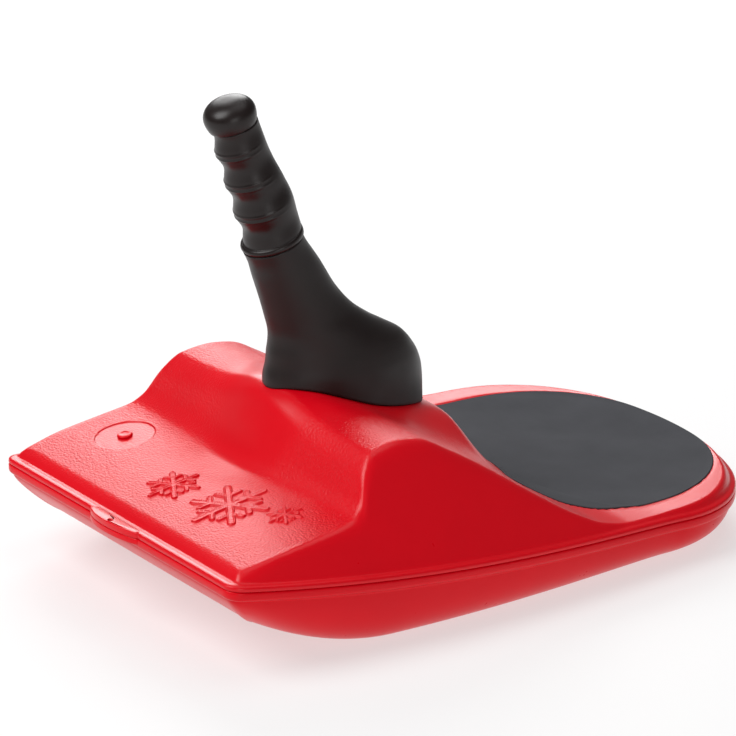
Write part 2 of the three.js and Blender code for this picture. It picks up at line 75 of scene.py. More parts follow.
# Parting line of the two mould halves, and the flange they share
PARTING_NOSE = 76.4
PARTING_TAIL = 33.5
PARTING_SAG = 23
FLANGE_UP = 5.4
FLANGE_DOWN = 8
FLANGE_SIDE = 5
FLANGE_NOSE_EXTRA = 3.5
WALL_SLOPE = 2
EDGE_ROUNDING = (3, 14)  # least and most rounding where the wall meets the crown
NOSE_ROLL = 9  # the panel rolls over softly at the nose edge
NOSE_ROLL_Y = -225
NOSE_ROLL_RUN = 40
SEAM = GAP / 2

# Underside
HULL_INSET = 3.5
HULL_RUN = 37
KEEL_NOSE = 57
KEEL_NOSE_END = -119
KEEL_TAIL = 11
KEEL_TAIL_START = 204
KEEL_NOSE_POWER = 1.9
GROOVE_X = 82
GROOVE_HALF = 15
GROOVE_DEPTH = 5

# Top of the body as (y, z): along the shoulders, and along the middle where the mound stands
SHOULDER = [(-268, 86.5), (-226, 95), (-188, 101), (-158, 106.5), (-147, 114), (-136, 136), (-122, 150),
            (-98, 154), (-76, 151), (-47, 136), (60, 66), (84, 55), (112, 49.5), (150, 48), (290, 49)]
MIDDLE = [(-268, 86.5), (-226, 95), (-188, 101), (-166, 105), (-157, 111), (-143, 142), (-133, 161),
          (-121, 166), (-53, 145), (24, 121.5), (38, 101), (46, 87), (61, 73), (90, 54), (112, 49.5),
          (150, 48), (290, 49)]
MOUND_HALF = 62
MOUND_FRONT_Y = -95  # ahead of this the mound narrows to a peak
MOUND_FRONT_RUN = 40
MOUND_NARROWING = 10

# Seat dish and its foam pad
DISH_Y = 150
DISH_HALF_X = 143
DISH_FRONT = 62
DISH_REAR = 131
DISH_FLOOR = 38.5
DISH_RISE = 10
DISH_WALL = 70
PAD_FRONT = 119
PAD_SQUARENESS = 2.25
PAD_CUT_MIDDLE = 80
PAD_CUT_CURVE = 34 / 107 ** 2
PAD_CORNER = 16
POCKET_DEPTH = 4
POCKET_SLOPE = 3.4

# Tow tab
TAB_HALF = 36
TAB_REACH = 9.5
TAB_ROOT = 6
TAB_UNDER = 5
TOW_HOLE_R = 2.9
TOW_HOLE_Y = -279.3

# Handle axis, leaning towards the nose
AXIS_TILT = math.radians(19.2)
COLLAR_Y = -123.5
COLLAR_Z = 287
STEM_R_TOP = 12
STEM_R_FOOT = 32
STEM_TOP = 124
STEM_FOOT = -158
GRIP_TOP = 110
FINGER_PITCH = 28.5
FINGER_COUNT = 4
KNOB_R = 21.6
KNOB_WAIST = 9.4
KNOB_HEIGHT = 22.4

# Filling plug and its round recess on the nose panel
PLUG_X = -115
PLUG_Y = -194
PLUG_DISC_R = 25
PLUG_R = 6.5
DISC_SUNK = 0.9


class SnowSledSizes(bpy.types.PropertyGroup):
    """Sizes that a user of the sled would change"""
    wall: bpy.props.FloatProperty(
        name="Wall", description="Thickness of the moulded wall, in millimetres",
        default=2.6, min=1.5, max=5)
    relief: bpy.props.FloatProperty(
        name="Relief", description="Height of the raised nose motif, in millimetres",
        default=1.5, min=0, max=3)
    pad_proud: bpy.props.FloatProperty(
        name="Pad stands proud", description="How far the pad stands out of its pocket, in millimetres",
        default=0.8, min=0, max=3)
    grain: bpy.props.FloatProperty(
        name="Grain", description="Width of one pebble of the leather grain, in millimetres",
        default=2.1, min=1, max=8)


class SnowSledColours(bpy.types.PropertyGroup):
    """Colours of the sled, as sRGB hex values"""
    body: bpy.props.StringProperty(name="Body", description="Moulded polyethylene", default="#DC0016")
    rubber: bpy.props.StringProperty(name="Rubber", description="Boot, grip and knob", default="#180F0E")
    foam: bpy.props.StringProperty(name="Foam", description="Seat pad", default="#434448")
    floor: bpy.props.StringProperty(name="Floor", description="Studio floor", default="#A4A4A4")


# ---- small maths ------------------------------------------------------------------------------

def monotone(points):
    """A smooth curve through (place, value) points that never overshoots them."""
    place, value = np.array(points, float).T
    step = np.diff(place)
    slope = np.diff(value) / step
    product = slope[:-1] * slope[1:]
    total = np.where(product > 0, slope[:-1] + slope[1:], 1)
    tangent = np.concatenate([slope[:1], np.where(product > 0, 2 * product / total, 0), slope[-1:]])

    def curve(at):
        x = np.clip(at, place[0], place[-1])
        i = np.clip(np.searchsorted(place, x) - 1, 0, len(step) - 1)
        t = (x - place[i]) / step[i]
        ease = (value[i + 1] - value[i]) * t * t * (3 - 2 * t)
        return value[i] + ease + step[i] * t * (1 - t) * (tangent[i] * (1 - t) - tangent[i + 1] * t)

    return curve


def smooth_min(a, b, k):
    h = np.maximum(k - np.abs(a - b), 0) / k
    return np.minimum(a, b) - h * h * k / 4


def smooth_max(a, b, k):
    return -smooth_min(-a, -b, k)


def smoothstep(x):
    t = np.clip(x, 0, 1)
    return t * t * (3 - 2 * t)


def bezier(a, b, c, d, t):
    t = t[:, None]
    a, b, c, d = (np.array(p, float) for p in (a, b, c, d))
    return a * (1 - t) ** 3 + 3 * b * t * (1 - t) ** 2 + 3 * c * t * t * (1 - t) + d * t ** 3


def crowded(steps, low, high, gain):
    """Places from 0 to 1, gain times closer together between low and high."""
    fine = np.linspace(0, 1, 2001)
    density = np.where((fine > low) & (fine < high), gain, 1.0)
    reached = np.concatenate([[0], np.cumsum((density[1:] + density[:-1]) / 2)])
    return np.interp(np.linspace(0, reached[-1], steps + 1), reached, fine)


# ---- surfaces of the body ---------------------------------------------------------------------

def rim_outline():
    """Plan of the rim as a closed loop, from the middle of the nose round the right side."""
    nose_end = NOSE_HALF - NOSE_CORNER_R
    nose = np.stack([np.linspace(0, nose_end, 65)[:-1], np.full(64, NOSE_Y)], 1)
    turn = np.linspace(-math.pi / 2, NOSE_CORNER_END, 9)
    corner = np.stack([nose_end + NOSE_CORNER_R * np.cos(turn),
                       NOSE_Y + NOSE_CORNER_R + NOSE_CORNER_R * np.sin(turn)], 1)
    last = corner[-1]
    side = bezier(last, last + (40, 190), (SIDE_HALF + 2, SIDE_Y - 56), (SIDE_HALF, SIDE_Y),
                  crowded(150, 0.15, 0.31, 1.8))[1:]
    tail = bezier((SIDE_HALF, SIDE_Y), (SIDE_HALF, SIDE_Y + 72), (108, TAIL_Y), (0, TAIL_Y),
                  np.linspace(0, 1, 55))[1:]
    half = np.concatenate([nose, corner, side, tail])
    return np.concatenate([half, half[-2:0:-1] * (-1, 1)])


OUTLINE = rim_outline()
ALONG = np.roll(OUTLINE, -1, 0) - np.roll(OUTLINE, 1, 0)
ALONG /= np.linalg.norm(ALONG, axis=1)[:, None]
INWARD = np.stack([-ALONG[:, 1], ALONG[:, 0]], 1)
FLANGE = FLANGE_SIDE + FLANGE_NOSE_EXTRA * np.maximum(INWARD[:, 1], 0) ** 2
SOFT_REACH = 50  # the corners' directions are spread over this length of rim, so no rows cross


def softened(ways):
    """Directions averaged along the rim."""
    step = np.linalg.norm(np.roll(OUTLINE, -1, 0) - OUTLINE, axis=1)
    length = step.sum()
    at = np.concatenate([[0], np.cumsum(step)[:-1]])
    apart = np.abs(at[:, None] - at)
    apart = np.minimum(apart, length - apart)
    weight = np.maximum(1 - apart / SOFT_REACH, 0) * (step + np.roll(step, 1))
    soft = weight @ ways
    return soft / np.linalg.norm(soft, axis=1)[:, None]


INWARD_SOFT = softened(INWARD)

shoulder_at = monotone(SHOULDER)
middle_at = monotone(MIDDLE)


def parting(y):
    u = (y - NOSE_Y) / (TAIL_Y - NOSE_Y)
    return PARTING_NOSE + (PARTING_TAIL - PARTING_NOSE) * u - PARTING_SAG * u * (1 - u)


def inset(x, y):
    """Distance of points from the rim outline."""
    after = np.roll(OUTLINE, -1, 0)
    step = after - OUTLINE
    length = (step ** 2).sum(1)
    best = np.empty(len(x))
    chunk = 4000
    for start in range(0, len(x), chunk):
        dx = x[start:start + chunk, None] - OUTLINE[:, 0]
        dy = y[start:start + chunk, None] - OUTLINE[:, 1]
        t = np.clip((dx * step[:, 0] + dy * step[:, 1]) / length, 0, 1)
        best[start:start + chunk] = np.hypot(dx - t * step[:, 0], dy - t * step[:, 1]).min(1)
    return best


def crown_at(x, y):
    """Nose panel, hump and mound, with the seat dish sunk into them."""
    front = smoothstep((MOUND_FRONT_Y - y) / MOUND_FRONT_RUN)
    mound = 1 / (1 + (np.abs(x) / (MOUND_HALF - MOUND_NARROWING * front)) ** (4 - 1.6 * front))
    ridge = shoulder_at(y) + (middle_at(y) - shoulder_at(y)) * mound
    rho = np.hypot(x / DISH_HALF_X, (y - DISH_Y) / np.where(y > DISH_Y, DISH_REAR, DISH_FRONT))
    dish = DISH_FLOOR + DISH_RISE * rho * rho + DISH_WALL * np.maximum(rho - 1, 0)
    return smooth_min(ridge, dish, 6)


def wall_at(x, y, flange):
    return parting(y) + FLANGE_UP + WALL_SLOPE * (inset(x, y) - flange)


def deck_top(x, y, flange=FLANGE_SIDE):
    """Top of the upper half before the pad's pocket is sunk into it."""
    foot = parting(y) + FLANGE_UP
    crown = crown_at(x, y)
    least, most = EDGE_ROUNDING
    rounding = np.clip(least + 0.22 * (crown - foot), least, most) \
        + NOSE_ROLL * smoothstep((NOSE_ROLL_Y - y) / NOSE_ROLL_RUN)
    return smooth_max(smooth_min(wall_at(x, y, flange), crown, rounding), foot, 1.6)


def pad_reach(c, s):
    """Distance from the middle of the dish to the pad's edge in the direction (c, s)."""
    length = np.where(s > 0, DISH_REAR, PAD_FRONT)
    round_edge = (np.abs(c / DISH_HALF_X) ** PAD_SQUARENESS + np.abs(s / length) ** PAD_SQUARENESS) \
        ** (-1 / PAD_SQUARENESS)
    root = s * s - 4 * PAD_CUT_CURVE * c * c * PAD_CUT_MIDDLE
    cut = 2 * PAD_CUT_MIDDLE / np.maximum(-s + np.sqrt(np.maximum(root, 0)), 1e-6)
    return np.where((s >= 0) | (root <= 0), round_edge, smooth_min(round_edge, cut, PAD_CORNER))


def pad_inset(x, y):
    """How far inside the pad's edge points lie, negative outside it."""
    r = np.maximum(np.hypot(x, y - DISH_Y), 1e-6)
    return np.where(r < 1, PAD_CUT_MIDDLE, pad_reach(x / r, (y - DISH_Y) / r) - r)


def pocket(x, y):
    return POCKET_DEPTH * np.clip((pad_inset(x, y) - GAP) / POCKET_SLOPE, 0, 1)


def keel(y):
    nose = np.clip((KEEL_NOSE_END - y) / (KEEL_NOSE_END - NOSE_Y), 0, 1)
    tail = np.clip((y - KEEL_TAIL_START) / (TAIL_Y - KEEL_TAIL_START), 0, 1)
    return KEEL_NOSE * nose ** KEEL_NOSE_POWER + KEEL_TAIL * tail ** 2


def groove(x, y):
    across = np.clip(1 - np.abs(np.abs(x) - GROOVE_X) / GROOVE_HALF, 0, 1)
    along = np.clip((KEEL_TAIL_START - 20 - y) / 40, 0, 1) * np.clip((y + 210) / 60, 0, 1)
    return GROOVE_DEPTH * np.sin(across * math.pi / 2) ** 2 * along


# ---- raised motif on the nose panel -----------------------------------------------------------

CRYSTALS = [(62, -206, 32), (-4, -217, 22), (112, -186, 14)]  # middle and radius of each snow crystal


def bar_distance(x, y, start, end, half_width):
    """Distance outside a bar with round ends, negative inside it."""
    dx, dy = end[0] - start[0], end[1] - start[1]
    t = np.clip(((x - start[0]) * dx + (y - start[1]) * dy) / (dx * dx + dy * dy), 0, 1)
    return np.hypot(x - start[0] - dx * t, y - start[1] - dy * t) - half_width


def motif_bars():
    """Bars of three six-armed snow crystals, as start, end and half width."""
    bars = []
    for middle_x, middle_y, radius in CRYSTALS:
        for arm in range(6):
            angle = math.radians(60 * arm + 30)

            def spot(along, turn=0.0, out=0.0):
                return (middle_x + radius * (along * math.cos(angle) + out * math.cos(angle + turn)),
                        middle_y + radius * (along * math.sin(angle) + out * math.sin(angle + turn)))

            bars.append((spot(0), spot(1), 0.1 * radius))
            for turn in (math.radians(58), math.radians(-58)):
                bars.append((spot(0.52), spot(0.52, turn, 0.34), 0.075 * radius))
    return bars


MOTIF_BARS = motif_bars()


def motif_distance(x, y):
    distance = np.full(len(x), 1e3)
    for start, end, half_width in MOTIF_BARS:
        distance = np.minimum(distance, bar_distance(x, y, start, end, half_width))
    return distance


def disc_distance(x, y):
    return np.hypot(x - PLUG_X, y - PLUG_Y) - PLUG_DISC_R


def nose_relief(x, y, height):
    distance = motif_distance(x, y)
    raised = height * (smoothstep((0.6 - distance) / 1.2) - 0.45 * smoothstep((-0.7 - distance) / 1.1))
    sunk = DISC_SUNK * smoothstep((0.5 - disc_distance(x, y)) / 1.0)
    return raised - sunk


# ---- meshes -----------------------------------------------------------------------------------

SPINE_START = -170
SPINE_END = 185
SQUARE_IN = 12


def inward(run, share):
    """The outline moved in: square to the rim by run, then a share of the way to the spine."""
    softness = min(max((run - 4) / 8, 0), 1)
    moved = OUTLINE + (INWARD + (INWARD_SOFT - INWARD) * softness) * run
    spine_y = np.clip(OUTLINE[:, 1], SPINE_START, SPINE_END)
    share = np.broadcast_to(share, len(OUTLINE))
    return moved[:, 0] * (1 - share), moved[:, 1] + (spine_y - moved[:, 1]) * share


def ring(run, share, height):
    x, y = inward(run, share)
    return np.stack([x, y, height(x, y)], 1)


def wrapped(rings):
    """A closed mesh from a grid whose rows become closed rings; the end rings close on themselves."""
    count = len(rings[0])
    rows = len(rings)
    shape = bmesh.new()
    bmesh.ops.create_grid(shape, x_segments=count, y_segments=rows - 1, size=1)
    for vert in shape.verts:
        column = round((vert.co.x + 1) / 2 * count) % count
        row = round((vert.co.y + 1) / 2 * (rows - 1))
        x, y, z = rings[row][column]
        vert.co = (x * MM, (y + SHIFT_Y) * MM, z * MM)
    bmesh.ops.remove_doubles(shape, verts=shape.verts, dist=1e-6)
    bmesh.ops.dissolve_degenerate(shape, edges=shape.edges, dist=1e-7)
    bmesh.ops.recalc_face_normals(shape, faces=shape.faces)
    if shape.calc_volume(signed=True) < 0:
        bmesh.ops.reverse_faces(shape, faces=shape.faces)
    return shape


def places(shape):
    """The vertices' places in millimetres on the drawing, without the frame's shift."""
    co = np.array([v.co for v in shape.verts]) / MM
    co[:, 1] -= SHIFT_Y
    return co


def finished(name, shape, material, slot, *nodes):
    """Makes the piece an object that stands for its CAD nodes."""
    for face in shape.faces:
        face.smooth = True
    mesh = bpy.data.meshes.new(name)
    shape.to_mesh(mesh)
    shape.free()
    mesh.materials.append(material)
    piece = bpy.data.objects.new(name, mesh)
    bpy.context.scene.collection.objects.link(piece)
    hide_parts(*nodes)
    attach(piece, BODY)
    return piece


def raise_points(shape, indices, lift):
    """Raises these vertices by these millimetres, or sinks them where it is negative."""
    for index, dz in zip(indices, lift):
        shape.verts[index].co.z += dz * MM


def shoulder_share():
    """Where, on the way to the spine, the crown comes down to meet the side wall."""
    crossing = np.full(len(OUTLINE), 0.6)
    found = np.zeros(len(OUTLINE), bool)
    for share in np.linspace(0, 0.6, 121):
        x, y = inward(SQUARE_IN, share)
        above = (wall_at(x, y, FLANGE) > crown_at(x, y)) & ~found
        crossing[above] = share
        found |= above
    return np.maximum(crossing, 0.02)


RIM_TOP = [(10.5, SEAM), (0.9, SEAM), (0.35, 0.45), (0, 1.2), (0, 2.4), (0.25, 3.5), (0.8, 4.2),
           (1.7, 4.7), (2.9, 5.1)]
TOP_RUNS = (4.2, 5.2, 6.4, 7.8, 9.2, 10.6, 12)
WALL_ROWS = 18
CROWN_ROWS = 50
INNER_ROWS = 10


def deck_rings(wall):
    def top(x, y):
        return deck_top(x, y, FLANGE) - pocket(x, y)

    def under(x, y):
        e = 1.5
        sunk = (POCKET_DEPTH + 0.6) * np.clip((pad_inset(x, y) + 12) / 6, 0, 1)
        sx = (deck_top(x + e, y, FLANGE) - deck_top(x - e, y, FLANGE)) / (2 * e)
        sy = (deck_top(x, y + e, FLANGE) - deck_top(x, y - e, FLANGE)) / (2 * e)
        return deck_top(x, y, FLANGE) - sunk - wall * np.sqrt(1 + sx * sx + sy * sy)

    def at(height):
        return lambda x, y: parting(y) + height

    shoulder = shoulder_share()
    wall_part = 1 - (1 - np.linspace(0, 1, WALL_ROWS + 1)[1:]) ** 1.3
    crown_part = np.linspace(0, 1, CROWN_ROWS + 1)[1:] ** 1.25
    inner_part = np.linspace(0, 1, INNER_ROWS + 1)[1:]
    rings = [ring(SQUARE_IN, shoulder + (1 - shoulder) * part, under) for part in inner_part[::-1]]
    rings += [ring(SQUARE_IN + 3, shoulder * part, under) for part in (1, 0.66, 0.33, 0)]
    rings += [ring(run, 0, at(height)) for run, height in RIM_TOP]
    rings += [ring(run, 0, top) for run in TOP_RUNS]
    rings += [ring(SQUARE_IN, shoulder * part, top) for part in wall_part]
    rings += [ring(SQUARE_IN, shoulder + (1 - shoulder) * part, top) for part in crown_part]
    return rings


RELIEF_PASSES = (2.0, 1.1, 0.7)  # each halves the faces this near, in millimetres, to a relief edge


def add_relief(shape, height):
    """Cuts the faces along the relief's edges finer, then lifts or sinks the panel there."""
    for distance in RELIEF_PASSES:
        shape.edges.ensure_lookup_table()
        middles = np.array([(e.verts[0].co + e.verts[1].co) / 2 for e in shape.edges]) / MM
        x, y, z = middles[:, 0], middles[:, 1] - SHIFT_Y, middles[:, 2]
        near = np.zeros(len(x), bool)
        panel = (y < -140) & (y > -262) & (z > 80) & (np.abs(x) < 160)
        px, py = x[panel], y[panel]
        outer = z[panel] > deck_top(px, py) - 1
        edge = np.minimum(np.abs(motif_distance(px, py)), np.abs(disc_distance(px, py)))
        near[panel] = outer & (edge < distance)
        chosen = [shape.edges[i] for i in np.nonzero(near)[0]]
        bmesh.ops.subdivide_edges(shape, edges=chosen, cuts=1, use_grid_fill=True)
    co = places(shape)
    x, y, z = co.T
    panel = (y < -140) & (z > 80) & (z > deck_top(x, y) - 1)
    shape.verts.ensure_lookup_table()
    lift = nose_relief(x[panel], y[panel], height)
    raise_points(shape, np.nonzero(panel)[0], lift)


def grain_amount(co):
    """Where the mould was grained: the nose panel and the hump, but not the mound beside the boot."""
    x, y, z = co.T
    wall = wall_at(x, y, FLANGE_SIDE)
    crown = crown_at(x, y)
    top = smoothstep((wall - crown - 2) / 16) * (z > crown - 3)
    seat = smoothstep((30 - y) / 40)
    beside_boot = np.hypot(x / 66, (y + 56) / 98)
    clear = smoothstep((beside_boot - 1) / 0.35)
    disc = smoothstep(disc_distance(x, y) / 1.5)
    return top * seat * clear * (0.55 + 0.45 * disc)


def axis_point(s):
    return np.array([0, COLLAR_Y - s * math.sin(AXIS_TILT), COLLAR_Z + s * math.cos(AXIS_TILT)])


def round_axis(s, angle, radius):
    """A ring square to the handle's axis; the angle is counted from its front."""
    forward = np.array([0, -math.cos(AXIS_TILT), -math.sin(AXIS_TILT)])
    side = np.array([1.0, 0, 0])
    return axis_point(s) + np.outer(radius * np.cos(angle), forward) + np.outer(radius * np.sin(angle), side)


def handle_ring(s, front, back, count):
    """A section square to the handle's axis, rounder at the front than at the back."""
    angle = np.arange(count) / count * 2 * math.pi
    return round_axis(s, angle, back + (front - back) * (1 + np.cos(angle)) / 2)


def turned(outline, count=96):
    """Rings of a shape turned about the handle's axis, from (radius, distance along it) points."""
    return [handle_ring(s, r, r, count) for r, s in outline]


def closed(rings):
    """Rings with a point at each end."""
    return [np.repeat(rings[0].mean(0)[None], len(rings[0]), 0), *rings,
            np.repeat(rings[-1].mean(0)[None], len(rings[-1]), 0)]


def stem_radius(s):
    return STEM_R_TOP + (STEM_R_FOOT - STEM_R_TOP) * min(max(-s / 120, 0), 1)


def add_shape(shape, extra):
    """Joins a second closed mesh to the first."""
    mesh = bpy.data.meshes.new("joined")
    extra.to_mesh(mesh)
    extra.free()
    shape.from_mesh(mesh)
    bpy.data.meshes.remove(mesh)


def stem_shape(wall):
    """Hollow stem under the boot and grip, moulded with the upper half."""
    outer = [(stem_radius(s), s) for s in np.linspace(-118, STEM_TOP - 4, 20)]
    cap = [(STEM_R_TOP - 4 + 4 * math.cos(a), STEM_TOP - 4 + 4 * math.sin(a)) for a in (0.4, 0.8, 1.2)]
    inner = [(max(r - wall, 2), min(s, STEM_TOP - wall)) for r, s in outer[::-1]]
    rings = turned(outer + cap + [(2, STEM_TOP), (2, STEM_TOP - wall)] + inner, 48)
    rings.append(rings[0])
    return wrapped(rings)


def tab_shape(low, high):
    """Half of the tow tab: a plate with a hole, following the parting line."""
    count = 96
    angle = np.arange(count) / count * 2 * math.pi
    hole = np.stack([TOW_HOLE_R * np.cos(angle), TOW_HOLE_Y + TOW_HOLE_R * np.sin(angle)], 1)
    t = np.linspace(0, 1, count // 2 + 1)
    front = bezier((TAB_HALF, NOSE_Y), (TAB_HALF - 16, NOSE_Y - TAB_REACH),
                   (-TAB_HALF + 16, NOSE_Y - TAB_REACH - 2.4), (-TAB_HALF, NOSE_Y), t)
    back = np.stack([np.linspace(-TAB_HALF, TAB_HALF, count // 2 + 1)[1:-1],
                     np.full(count // 2 - 1, NOSE_Y + TAB_ROOT)], 1)
    edge = np.concatenate([front, back])
    edge = np.roll(edge[::-1], count // 4 + count // 2 + 1, 0)

    def loop(points, lift):
        return np.stack([points[:, 0], points[:, 1], parting(points[:, 1]) + lift], 1)

    def between(share, lift):
        return loop(hole + (edge - hole) * share, lift)

    round_edge = 0.985
    return wrapped([between(0, low), between(round_edge, low), between(1, low + 0.6), between(1, high - 1.2),
                    between(0.96, high - 0.25), between(0.9, high), between(0.1, high), between(0, high),
                    between(0, low)])


# ---- materials --------------------------------------------------------------------------------

def linear(hex_colour):
    """An sRGB hex colour as linear RGBA."""
    parts = [int(hex_colour[i:i + 2], 16) / 255 for i in (1, 3, 5)]
    return [p / 12.92 if p <= 0.04045 else ((p + 0.055) / 1.055) ** 2.4 for p in parts] + [1.0]


def add_node(tree, kind, settings=None, inputs=None):
    """Adds a node with its settings; an input is a value, or a socket to link."""
    made = tree.nodes.new(kind)
    for key, value in (settings or {}).items():
        setattr(made, key, value)
    for key, value in (inputs or {}).items():
        if isinstance(value, bpy.types.NodeSocket):
            tree.links.new(value, made.inputs[key])
        else:
            made.inputs[key].default_value = value
    return made


def new_material(name):
    """A material with only its shader and output, and the tree, shader and object coordinates."""
    material = bpy.data.materials.new(name)
    material.use_nodes = True
    tree = material.node_tree
    shader = tree.nodes["Principled BSDF"]
    place = add_node(tree, "ShaderNodeTexCoord").outputs["Object"]
    return material, tree, shader, place


def per_mm(size):
    """Texture scale at which one feature is this many millimetres wide, on coordinates in metres."""
    return 1 / (size * MM)


def moulded_polyethylene(name, colour, grain_mm, grained):
    """Blow-moulded HDPE: waxy, with soft wide highlights. The nose panel and hump have a leather
    grain, drawn coarser than a real one so that it shows; the rest is smooth and a little more matt."""
    material, tree, shader, place = new_material(name)
    cloud = add_node(tree, "ShaderNodeTexNoise", None, {"Vector": place, "Scale": per_mm(60), "Detail": 3.0})
    tint = add_node(tree, "ShaderNodeMix", {"data_type": "RGBA"}, {
        "Factor": cloud.outputs["Fac"], "A": [c * 0.93 for c in linear(colour)[:3]] + [1],
        "B": [min(c * 1.06, 1) for c in linear(colour)[:3]] + [1]})
    tree.links.new(tint.outputs["Result"], shader.inputs["Base Color"])
    skin = add_node(tree, "ShaderNodeTexNoise", None, {"Vector": place, "Scale": per_mm(9), "Detail": 4.0})
    skin_bump = add_node(tree, "ShaderNodeBump", None, {
        "Strength": 0.12, "Distance": 0.4 * MM, "Height": skin.outputs["Fac"]})
    normal = skin_bump.outputs["Normal"]
    rough = add_node(tree, "ShaderNodeMapRange", None, {
        "Value": skin.outputs["Fac"], "To Min": 0.25, "To Max": 0.34})
    if grained:
        amount = add_node(tree, "ShaderNodeAttribute", {"attribute_name": "grain"}).outputs["Fac"]
        wander = add_node(tree, "ShaderNodeTexNoise", None, {
            "Vector": place, "Scale": per_mm(grain_mm * 1.6), "Detail": 2.0})
        shifted = add_node(tree, "ShaderNodeVectorMath", {"operation": "MULTIPLY_ADD"}, {
            0: wander.outputs["Color"], 1: [grain_mm * MM] * 3, 2: place})
        pebble = add_node(tree, "ShaderNodeTexVoronoi", {"feature": "SMOOTH_F1"}, {
            "Vector": shifted.outputs[0], "Scale": per_mm(grain_mm), "Smoothness": 0.35})
        crease = add_node(tree, "ShaderNodeTexNoise", None, {
            "Vector": place, "Scale": per_mm(grain_mm * 0.7), "Detail": 3.0})
        height = add_node(tree, "ShaderNodeMath", {"operation": "MULTIPLY_ADD"}, {
            0: pebble.outputs["Distance"], 1: -1.3, 2: crease.outputs["Fac"]})
        strength = add_node(tree, "ShaderNodeMath", {"operation": "MULTIPLY"}, {0: amount, 1: 0.5})
        grain_bump = add_node(tree, "ShaderNodeBump", None, {
            "Strength": strength.outputs[0], "Distance": 0.45 * MM, "Height": height.outputs[0],
            "Normal": normal})
        normal = grain_bump.outputs["Normal"]
        rough = add_node(tree, "ShaderNodeMath", {"operation": "MULTIPLY_ADD"}, {
            0: amount, 1: 0.1, 2: rough.outputs["Result"]})
    tree.links.new(rough.outputs[0], shader.inputs["Roughness"])
    tree.links.new(normal, shader.inputs["Normal"])
    shader.inputs["IOR"].default_value = 1.54
    shader.inputs["Specular IOR Level"].default_value = 0.27 if grained else 0.16
    return material


def moulded_rubber(name, colour, gloss):
    """Injection-moulded thermoplastic rubber: near black, satin, with a faint skin from the mould."""
    material, tree, shader, place = new_material(name)
    skin = add_node(tree, "ShaderNodeTexNoise", None, {"Vector": place, "Scale": per_mm(1.4), "Detail": 4.0})
    smear = add_node(tree, "ShaderNodeTexNoise", None, {"Vector": place, "Scale": per_mm(35), "Detail": 3.0})
    base = linear(colour)
    tint = add_node(tree, "ShaderNodeMix", {"data_type": "RGBA"}, {
        "Factor": smear.outputs["Fac"], "A": [c * 0.75 for c in base[:3]] + [1],
        "B": [c * 1.35 for c in base[:3]] + [1]})
    rough = add_node(tree, "ShaderNodeMapRange", None, {
        "Value": smear.outputs["Fac"], "From Min": 0.3, "From Max": 0.7,
        "To Min": gloss - 0.06, "To Max": gloss + 0.08})
    bump = add_node(tree, "ShaderNodeBump", None, {
        "Strength": 0.1, "Distance": 0.15 * MM, "Height": skin.outputs["Fac"]})
    tree.links.new(tint.outputs["Result"], shader.inputs["Base Color"])
    tree.links.new(rough.outputs["Result"], shader.inputs["Roughness"])
    tree.links.new(bump.outputs["Normal"], shader.inputs["Normal"])
    shader.inputs["IOR"].default_value = 1.52
    shader.inputs["Specular IOR Level"].default_value = 0.32
    return material


def closed_cell_foam(name, colour):
    """Closed-cell EVA foam cut from sheet: matt, with scuffed patches and a pitted skin, whose
    cells are drawn coarser than real ones so that they show."""
    material, tree, shader, place = new_material(name)
    cells = add_node(tree, "ShaderNodeTexVoronoi", None, {"Vector": place, "Scale": per_mm(1.3)})
    scuff = add_node(tree, "ShaderNodeTexNoise", None, {
        "Vector": place, "Scale": per_mm(45), "Detail": 5.0, "Roughness": 0.55})
    base = linear(colour)
    tint = add_node(tree, "ShaderNodeMix", {"data_type": "RGBA"}, {
        "Factor": scuff.outputs["Fac"], "A": [c * 0.8 for c in base[:3]] + [1],
        "B": [c * 1.25 for c in base[:3]] + [1]})
    bump = add_node(tree, "ShaderNodeBump", None, {
        "Strength": 0.3, "Distance": 0.25 * MM, "Height": cells.outputs["Distance"]})
    tree.links.new(tint.outputs["Result"], shader.inputs["Base Color"])
    tree.links.new(bump.outputs["Normal"], shader.inputs["Normal"])
    shader.inputs["Roughness"].default_value = 0.85
    shader.inputs["Specular IOR Level"].default_value = 0.12
    return material


def material_for(kind):
    """The sled's materials, each made once."""
    colours = bpy.context.scene.snow_sled_colours
    sizes = bpy.context.scene.snow_sled_sizes
    makers = {
        "grained_hdpe": lambda name: moulded_polyethylene(name, colours.body, sizes.grain, True),
        "smooth_hdpe": lambda name: moulded_polyethylene(name, colours.body, sizes.grain, False),
        "satin_rubber": lambda name: moulded_rubber(name, colours.rubber, 0.42),
        "grip_rubber": lambda name: moulded_rubber(name, colours.rubber, 0.36),
        "eva_foam": lambda name: closed_cell_foam(name, colours.foam),
    }
    return bpy.data.materials.get(kind) or makers[kind](kind)


# ---- operators --------------------------------------------------------------------------------

class SNOWSLED_OT_upper_body(bpy.types.Operator):
    """Upper mould half with the nose panel, hump, mound, seat dish, stem and half of the tow tab"""
    bl_idname = "snow_sled.upper_body"
    bl_label = "Upper body"

    def execute(self, context):
        sizes = context.scene.snow_sled_sizes
        shape = wrapped(deck_rings(sizes.wall))
        add_relief(shape, sizes.relief)
        grain = grain_amount(places(shape))
        add_shape(shape, stem_shape(sizes.wall))
        add_shape(shape, tab_shape(SEAM, FLANGE_UP))
        grain = np.concatenate([grain, np.zeros(len(shape.verts) - len(grain))])
        piece = finished("upper_body", shape, material_for("grained_hdpe"), "body_red", "deck_shell")
        attribute = piece.data.attributes.new("grain", "FLOAT", "POINT")
        attribute.data.foreach_set("value", grain.astype(np.float32))
        return {"FINISHED"}


